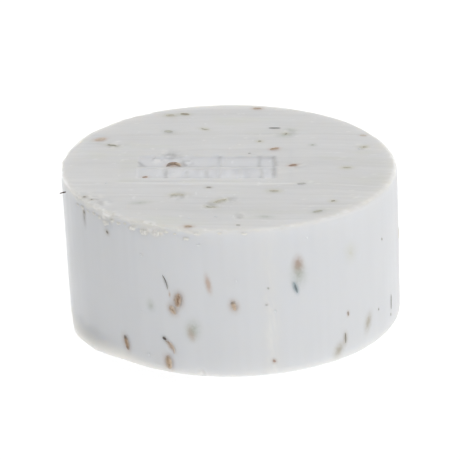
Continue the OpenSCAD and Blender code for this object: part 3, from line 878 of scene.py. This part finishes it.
LOOKS = {
    "oval": look((184, 160, 138), ("tan", 0.6, 1.3), stripe=(136, 102, 76), stripe_w=0.22, rib_count=4,
                 ribs=0.02),
    "tan": look((203, 184, 164), ("tan", 0.42, 1.3), stripe=(178, 154, 132)),
    "husk": look((180, 152, 126), ("tan", 0.42, 1.2), head=(88, 78, 70), tail=(146, 122, 102)),
    "streaked": look((212, 190, 164), ("tan", 0.45, 1.3), head=(170, 150, 130), stripe=(174, 146, 120)),
    "dark_top": look((206, 184, 162), ("tan", 0.45, 1.3), head=(146, 130, 114)),
    "smear": look((190, 178, 166), ("dun", 0.5, 1.5)),
    "pale": look((217, 210, 196), ("tan", 0.22, 0.9), stripe=(198, 185, 166)),
    "blur_pink": look((196, 170, 156), ("pink", 0.7, 0.6), heart=("orange", 0.12, 0.4)),
    "blur_rose": look((196, 170, 156), ("rose", 0.6, 1.3), heart=("tan", 0.5, 0.42)),
    "blur_tan": look((204, 182, 160), ("pink", 0.7, 0.8), heart=("tan", 0.4, 0.45)),
    "blur_green": look((176, 182, 166), ("green", 0.38, 1.7)),
    "faint_green": look((176, 182, 166), ("green", 0.3, 0.8)),
    "faint_yellow": look((206, 204, 190), ("yellow", 0.22, 2.0)),
    "grey_streak": look((150, 146, 138), ("grey", 0.32, 0.7)),
    "hair": look((78, 73, 70), ("grey", 0.3, 0.4), tail=(122, 110, 100), film=0.3, taper=1.1),
    "thread": look((178, 160, 142), ("tan", 0.4, 0.3), film=0.5),
    "comma": look((203, 181, 162), ("tan", 0.5, 0.5), head=(156, 134, 118), tail=(212, 197, 182), film=0.5,
                  taper=0.6),
    "black": look((82, 74, 68), ("grey", 0.4, 0.5), film=0.4, crown=0.08),
    "grey": look((150, 144, 134), ("dun", 0.4, 1.0)),
    "thin_grey": look((140, 138, 132), ("grey", 0.3, 0.5), film=0.5),
    "dot_brown": look((166, 150, 136), ("tan", 0.3, 0.6)),
    "dot_grey": look((178, 177, 170), ("grey", 0.15, 0.4), film=0.8),
    "dot_faint": look((200, 200, 196), ("grey", 0.1, 0.4)),
    "dot_red": look((190, 162, 148), ("pink", 0.4, 0.7)),
    "teal": look((130, 138, 140), ("teal", 0.6, 0.8), head=(172, 188, 194), taper=1.2, film=0.7),
    "brown": look((166, 150, 126), ("yellow", 0.6, 1.4), stripe=(112, 98, 82)),
    "orange": look((204, 182, 156), ("orange", 0.4, 1.0), stripe=(158, 128, 102)),
    "warm": look((218, 203, 186), ("orange", 0.5, 1.3)),
    "olive": look((154, 142, 122), ("yellow", 0.45, 1.4), stripe=(104, 93, 79), film=0.8),
    "leaf": look((200, 200, 188), ("green", 0.28, 1.4), stripe=(178, 174, 158), film=0.9),
    "leaf_pale": look((212, 208, 197), ("yellow", 0.5, 1.8), stripe=(194, 184, 164), film=0.9),
    "seed": look((180, 150, 124), ("orange", 0.35, 1.2), stripe=(124, 96, 76), crown=0.07),
    "grain": look((238, 240, 242), None, film=0.0, crown=0.06, lump=0.03, brink=2, rag=0.3, ribs=0.0),
    "crumb": look((240, 239, 234), None, film=0.0, crown=0.08, lump=0.06, brink=2, rag=0.5, ribs=0.0),
    "arch": look((150, 122, 94), ("orange", 0.5, 1.3), head=(206, 186, 160), tail=(118, 98, 80), film=0.35,
                 body=0.7, taper=0.6, crown=0.1, rag=0.35),
}

# The look of the flecks near a place: angle and % of height on the wall, X and Y in % of radius on the top
WALL_LOOKS = [
    (-17, 52, "oval"), (-19, 45, "tan"), (-38, 15.5, "husk"), (-21.5, 8.5, "streaked"), (1.5, 49, "dark_top"),
    (38, 5.5, "smear"), (-6.5, 64, "blur_pink"), (-13, 30, "blur_tan"), (23.5, 71, "blur_rose"),
    (-12.4, 32.5, "blur_green"), (23.6, 65, "blur_green"), (-27, 46, "faint_green"), (52.5, 15, "smear"),
    (44.5, 69, "faint_yellow"), (-56, 91, "grey_streak"), (-21, 63.5, "hair"), (-19.8, 55.5, "thread"),
    (-20.2, 20, "comma"), (41, 12, "grey"), (69.5, 15.5, "thin_grey"), (-22.6, 24.5, "black"),
    (69, 7, "dot_grey"), (42.5, 28, "dot_brown"), (59, 19, "dot_grey"), (62.5, 65, "dot_grey"),
    (13, 59, "dot_faint"), (12.2, 48, "dot_faint"), (14, 9, "dot_red"), (-43.5, 88.5, "grey"),
    (-56, 95, "grey"), (22.3, 56.5, "teal"),
]
TOP_LOOKS = [
    (-29, 82, "brown"), (-79, 39, "warm"), (-29, -48, "leaf_pale"), (-21, -94, "tan"), (16, 92, "tan"),
    (37, 55, "leaf"), (27, 24, "orange"), (38, -2, "seed"), (81, 46, "pale"), (27, -42, "leaf_pale"),
    (-4, -57, "leaf_pale"), (-38, 80, "leaf_pale"), (-38, 52, "leaf"), (43, -31, "dot_grey"),
    (52, -72, "leaf"), (34, 46, "blur_green"), (-50, -60, "faint_green"), (22, -80, "faint_green"),
    (27, 58, "hair"), (-16, 56, "olive"), (-71, 29, "olive"), (-9, -66, "olive"), (70, -6, "leaf_pale"),
    (-45, 11, "dot_faint"), (-49, -18, "seed"), (-11, -37, "grey"), (34, 49, "olive"), (18, 36, "olive"),
    (12, 17, "dot_grey"), (50, 30, "leaf"), (61, -57, "olive"), (7, -92, "dot_grey"), (81, 27, "leaf_pale"),
    (-79, -53, "grey"), (-76, -58, "grey"),
]
OWN_LOOKS = {"white_grains": "grain", "rim_crumbs": "crumb", "stamp_husk": "arch", "petal_sliver": "teal"}
BACK_LOOKS = {
    "husk_flakes": ["oval", "streaked", "husk", "tan", "dark_top"],
    "herb_needles": ["hair", "grey", "thread", "thin_grey"],
    "leaf_bits": ["blur_green", "faint_green", "faint_yellow"],
    "seed_specks": ["seed", "dot_brown", "black", "dot_grey"],
    "inner_husks": ["streaked", "tan"],
    "inner_needles": ["hair", "thread"],
}


# Flecks of the back that still show at the edge of the front are faint
FRONT_EDGE = 96


def look_of(node, fleck, number):
    if node in OWN_LOOKS:
        return OWN_LOOKS[node]
    if node.endswith("_front"):
        spots, x, y = WALL_LOOKS, fleck.angle, fleck.height / HEIGHT * 100
    elif node.endswith("_top"):
        spots, x, y = TOP_LOOKS, fleck.top_x / RADIUS * 100, fleck.top_y / RADIUS * 100
    else:
        kinds = next(v for k, v in BACK_LOOKS.items() if node.startswith(k))
        return kinds[number % len(kinds)] if abs(fleck.angle) > FRONT_EDGE or fleck.side != "wall" else "pale"
    return min(spots, key=lambda s: (s[0] - x) ** 2 + (s[1] - y) ** 2)[2]


def side_of(node, cloud):
    if node.startswith("inner"):
        return "inside"
    if node.endswith("_base"):
        return "base"
    if node.endswith("_top") or node == "stamp_husk":
        return "top"
    if node == "white_grains":
        mid = cloud.mean(0)
        return "top" if abs((TOP - mid) @ TOP_OUT) < 1.0 and np.hypot(mid[0], mid[1]) < RADIUS - 1 else "wall"
    return "wall"


STEM_RINGS, STEM_SIDES = 18, 12
STEM_KNUCKLE, STEM_SPLIT = 0.62, 0.93
STEM_BROWN, STEM_PITH = srgb(96, 84, 72), srgb(150, 132, 108)


def stem_shape(cloud):
    """The broken stalk that sticks out of the wall: a thin bent rod with a knuckle and a split end."""
    mid = (cloud.max(0) + cloud.min(0)) / 2
    out = unit(off_axis(mid)[2])
    side = np.cross(AXIS, out)
    start, end = (cloud @ out).min(), (cloud @ out).max()
    thick = (cloud @ side).max() - (cloud @ side).min()
    centre = mid - (mid @ out) * out
    turn = np.arange(STEM_SIDES) * 2 * math.pi / STEM_SIDES
    around = np.cos(turn)[:, None] * side + np.sin(turn)[:, None] * AXIS
    rings, tints = [], []
    for t in np.arange(STEM_RINGS + 1) / STEM_RINGS:
        girth = thick / 2 * (0.78 - 0.3 * t + 0.22 * bell(t - STEM_KNUCKLE, 0.06))
        girth = girth * (1.0 if t < STEM_SPLIT else 0.7)
        bow = 0.10 * math.sin(t * math.pi) - 0.05 * t
        at = centre + (start + (end - start) * t) * out + bow * AXIS
        ridge = 1 + 0.12 * np.cos(4 * turn + 3 * t)
        rings.append(at + (girth * ridge)[:, None] * around)
        shade = (1 + 0.25 * np.sin(4 * turn + 9 * t)) * (0.75 if t > 0.85 else 1.0)
        tints.append(STEM_BROWN * shade[:, None])
    tips = [rings[0].mean(0), rings[-1].mean(0)]
    verts, tints = np.concatenate([*rings, tips]), np.concatenate([*tints, [STEM_PITH] * 2])
    return verts, tube_faces(STEM_RINGS + 1, STEM_SIDES), tints


halos = {name: [] for name in HALO_COLOURS}


def add_halo(fleck, look):
    """Notes the soap's stain round a fleck, and the smaller second stain in the heart of some."""
    if not look["halo"] or fleck.side == "inside":
        return
    surface = fleck.mid + (fleck.thick / 2 + fleck.depth) * fleck.out
    turn = Matrix([fleck.across, fleck.along, fleck.out]).transposed().to_euler()
    deep = 1.6 + max(fleck.depth, 0)
    kind, strength, reach = look["halo"]
    halos[kind].append((surface, turn, (fleck.width / 2 + reach, 0.6 * fleck.length + reach, deep), strength))
    if "heart" in look:
        kind, strength, share = look["heart"]
        halos[kind].append((surface, turn, (share * fleck.width, share * fleck.length, deep), strength))


SLOTS = {
    "rim_crumbs": "crumb",
    "white_grains": "grain",
    "rim_stem": "stem",
    "petal_sliver": "petal",
    "stamp_husk": "husk",
    "husk_flakes": "husk",
    "herb_needles": "needle",
    "leaf_bits": "leaf",
    "seed_specks": "seed",
    "inner_husks": "husk",
    "inner_needles": "needle",
}


def flecks_of(node):
    verts, faces, tints = [], [], []
    for number, cloud in enumerate(solids_of(node)):
        if node == "rim_stem":
            shape = stem_shape(cloud)
        else:
            fleck = Fleck(cloud, side_of(node, cloud), on_floor=node == "stamp_husk")
            look = LOOKS[look_of(node, fleck, number)]
            shape = fleck_shape(fleck, look, 100 + 13 * number)
            add_halo(fleck, look)
        offset = sum(len(v) for v in verts)
        verts.append(shape[0])
        faces += [tuple(i + offset for i in f) for f in shape[1]]
        tints.append(shape[2])
    return np.concatenate(verts), faces, np.concatenate(tints)


def plant_material(name, roughness, grain_scale):
    """Dried plant matter: its tint, broken up by a fine fibre grain, with a dull surface."""
    m = Nodes(bpy.data.materials.new(name))
    where = m.coordinates()
    stretched = m.add("ShaderNodeMapping", {"Vector": where, "Scale": (1, 1, 0.25)}).outputs[0]
    grain = m.noise(where, grain_scale, detail=4, roughness=0.65)
    fibre = m.noise(stretched, grain_scale * 2, detail=2)
    shade = m.math("MULTIPLY_ADD", fibre, 0.5, m.math("MULTIPLY_ADD", grain, 0.5, 0.5))
    toned = m.add("ShaderNodeHueSaturation", {"Color": m.tint(), "Value": shade})
    m.surface(Base_Color=toned.outputs[0], Roughness=roughness, Specular_IOR_Level=0.35)
    m.bump(grain, 0.4, 0.00004)
    return m.owner


def soap_bit_material(name, second_colour):
    """Loose bits of the same soap. They are matte, because no light reaches them from the soap underneath."""
    m = Nodes(bpy.data.materials.new(name))
    grain = m.noise(m.coordinates(), 2600, detail=4)
    colour = m.mix(m.ramp(grain, 0.35, 0.75, 0.0, 0.25), m.tint(), second_colour)
    m.surface(Base_Color=colour, Roughness=0.6, Specular_IOR_Level=0.3)
    m.bump(grain, 0.3, 0.00005)
    return m.owner


MATERIALS = {
    "crumb": soap_bit_material("crumb_soap", CREAM * 0.96),
    "grain": soap_bit_material("white_soap", WALL_WHITE),
    "stem": plant_material("dry_stem", 0.75, 2400),
    "petal": plant_material("dark_petal", 0.5, 2600),
    "husk": plant_material("brown_husk", 0.65, 2200),
    "needle": plant_material("dark_needle", 0.6, 3000),
    "leaf": plant_material("green_leaf", 0.7, 1800),
    "seed": plant_material("brown_seed", 0.45, 2600),
}


def pretty(node):
    return "".join(word.capitalize() for word in node.split("_"))


for node in sorted(nodes):
    if node == "soap_puck":
        continue
    slot = next(s for k, s in SLOTS.items() if node.startswith(k))
    piece = make_object(pretty(node), *flecks_of(node))
    piece.data.materials.append(MATERIALS[slot])
    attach(piece, "root")
    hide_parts(node)


# -------- the soap itself
def soap_material():
    """Translucent soap, with the stain of each fleck as a soft ball of colour round it."""
    m = Nodes(bpy.data.materials.new("shaving_soap"))
    where = m.coordinates()
    cloud = m.noise(where, 90, detail=3)
    colour = m.mix(m.ramp(cloud, 0.3, 0.75, 0.0, 0.10), m.tint(), CLOUD_WHITE)
    for name, spots in halos.items():
        total = 0.0
        for place, turn, size, strength in spots:
            inputs = {"Vector": where, "Location": place * MM, "Rotation": turn, "Scale": np.array(size) * MM}
            mapping = m.add("ShaderNodeMapping", inputs, vector_type="TEXTURE")
            ball = m.add("ShaderNodeTexGradient", {0: mapping.outputs[0]}, gradient_type="QUADRATIC_SPHERE")
            total = m.math("MULTIPLY_ADD", ball.outputs["Fac"], HALO_GAIN * strength, total)
        if spots:
            ragged_edge = m.noise(where, 1500, detail=3)
            total = m.math("MULTIPLY", total, m.ramp(ragged_edge, 0.2, 0.7, 0.6, 1.2))
            colour = m.mix(m.math("MINIMUM", total, HALO_MOST), colour, HALO_COLOURS[name])
    fine = m.noise(where, 1400, detail=5, roughness=0.6)
    soft = m.noise(where, 260, detail=3)
    m.bump(m.math("MULTIPLY_ADD", soft, 0.7, fine), 0.16, 0.00012)
    m.surface(
        Base_Color=colour,
        Roughness=m.ramp(soft, 0.2, 0.8, 0.42, 0.56),
        Subsurface_Weight=1.0,
        Subsurface_Scale=0.0028,
        Subsurface_Radius=(1.0, 0.95, 0.88),
        Specular_IOR_Level=0.4,
    )
    return m.owner


soap = make_object("SoapPuck", *soap_mesh())
soap.data.materials.append(soap_material())
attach(soap, "root")
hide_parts("soap_puck")


# -------- camera, floor and light
CAMERA_AZIMUTH, CAMERA_ELEVATION = 1.5, 23.6
CAMERA_DISTANCE = 550
CAMERA_ROLL = -1.18
CAMERA_FIELD = 10.064
AIM_HEIGHT = 16
AIM_UP, AIM_LEFT = 1.05, 0.48


def direction(azimuth, elevation):
    """The way from the puck to this azimuth, from the front towards +X, and elevation."""
    a, e = math.radians(azimuth), math.radians(elevation)
    return Vector((math.sin(a) * math.cos(e), -math.cos(a) * math.cos(e), math.sin(e)))


def upright(forward):
    """The right and up of a level camera that looks forward."""
    right = forward.cross(Vector((0, 0, 1))).normalized()
    return right, right.cross(forward)


def make_camera():
    back = direction(CAMERA_AZIMUTH, CAMERA_ELEVATION)
    target = Vector((0, 0, AIM_HEIGHT))
    place = target + back * CAMERA_DISTANCE
    right, up = upright(-back)
    forward = (target + up * AIM_UP - right * AIM_LEFT - place).normalized()
    right, up = upright(forward)
    r = math.radians(CAMERA_ROLL)
    right, up = right * math.cos(r) + up * math.sin(r), up * math.cos(r) - right * math.sin(r)
    data = bpy.data.cameras.new("Camera")
    data.sensor_width = 36
    data.angle = math.radians(CAMERA_FIELD)
    data.clip_start, data.clip_end = 0.01, 20
    camera = add_object("Camera", data)
    turn = Matrix((right, up, -forward)).transposed()
    camera.matrix_world = Matrix.Translation(place * MM) @ turn.to_4x4()
    bpy.context.scene.camera = camera


make_camera()

# The floor's side and its cells, in metres and cells a side; it glows a little so that it stays a pale ground
FLOOR_SIZE, FLOOR_CELLS = 6.0, 12
FLOOR_GLOW = 0.79
FLOOR_WHITE = 0.35


def make_floor():
    grid = np.linspace(-FLOOR_SIZE / 2, FLOOR_SIZE / 2, FLOOR_CELLS + 1)
    verts = [(x, y, 0) for y in grid for x in grid]
    corners = [j * len(grid) + i for j in range(FLOOR_CELLS) for i in range(FLOOR_CELLS)]
    mesh = bpy.data.meshes.new("Floor")
    mesh.from_pydata(verts, [], [(a, a + 1, a + len(grid) + 1, a + len(grid)) for a in corners])
    m = Nodes(bpy.data.materials.new("white_floor"))
    m.surface(Base_Color=[FLOOR_WHITE] * 3, Roughness=0.9)
    m.surface(Emission_Color=(1, 1, 1), Emission_Strength=FLOOR_GLOW)
    mesh.materials.append(m.owner)
    floor = add_object("Floor", mesh)


make_floor()


def soft_light(name, azimuth, elevation, distance, size, power):
    """A square softbox round the puck, turned to face it."""
    way = direction(azimuth, elevation)
    data = bpy.data.lights.new(name, "AREA")
    data.shape = "SQUARE"
    data.size = size
    data.energy = power
    light = add_object(name, data)
    light.location = way * distance
    light.rotation_mode = "QUATERNION"
    light.rotation_quaternion = (-way).to_track_quat("-Z", "Y")


soft_light("KeyLight", 24, 38, 1.2, 0.9, 4.4)
soft_light("LeftRimLight", -150, 5, 1.2, 0.4, 7.4)
soft_light("RightRimLight", 150, 10, 1.2, 0.4, 2.0)
soft_light("TopLight", 170, 78, 1.3, 1.1, 9.4)

# The sky's strength at the horizon and above it, and the heights between which it changes
SKY_LOW, SKY_HIGH = 1.0, 0.1
HORIZON_FROM, HORIZON_TO = 0.14, 0.24
# A dark flag at the front left: its azimuth, and the cosines off it where it begins and where it is full
FLAG_AZIMUTH = -50
FLAG_FROM, FLAG_FULL = 0.15, 0.65
# The flag stands clear of the horizon: the heights where it begins and where it is full
FLAG_LOW, FLAG_HIGH = 0.036, 0.05


def make_world():
    """A white horizon under a dark sky, with a dark flag at the front left."""
    w = Nodes(bpy.data.worlds.new("Studio"))
    way = w.coordinates("Generated")
    height = w.add("ShaderNodeSeparateXYZ", {0: way}).outputs["Z"]
    towards = w.add("ShaderNodeVectorMath", {0: way, 1: direction(FLAG_AZIMUTH, 0)}, operation="DOT_PRODUCT")
    sky = w.ramp(height, HORIZON_FROM, HORIZON_TO, SKY_LOW, SKY_HIGH)
    beside = w.ramp(towards.outputs["Value"], FLAG_FROM, FLAG_FULL)
    flag = w.math("MULTIPLY", beside, w.ramp(height, FLAG_LOW, FLAG_HIGH))
    background = w.tree.nodes["Background"]
    w.link((1, 1, 1), background.inputs["Color"])
    w.link(w.math("MULTIPLY", sky, w.math("SUBTRACT", 1.0, flag)), background.inputs["Strength"])
    bpy.context.scene.world = w.owner


make_world()
bpy.context.scene.view_settings.view_transform = "Standard"
bpy.context.scene.view_settings.look = "None"
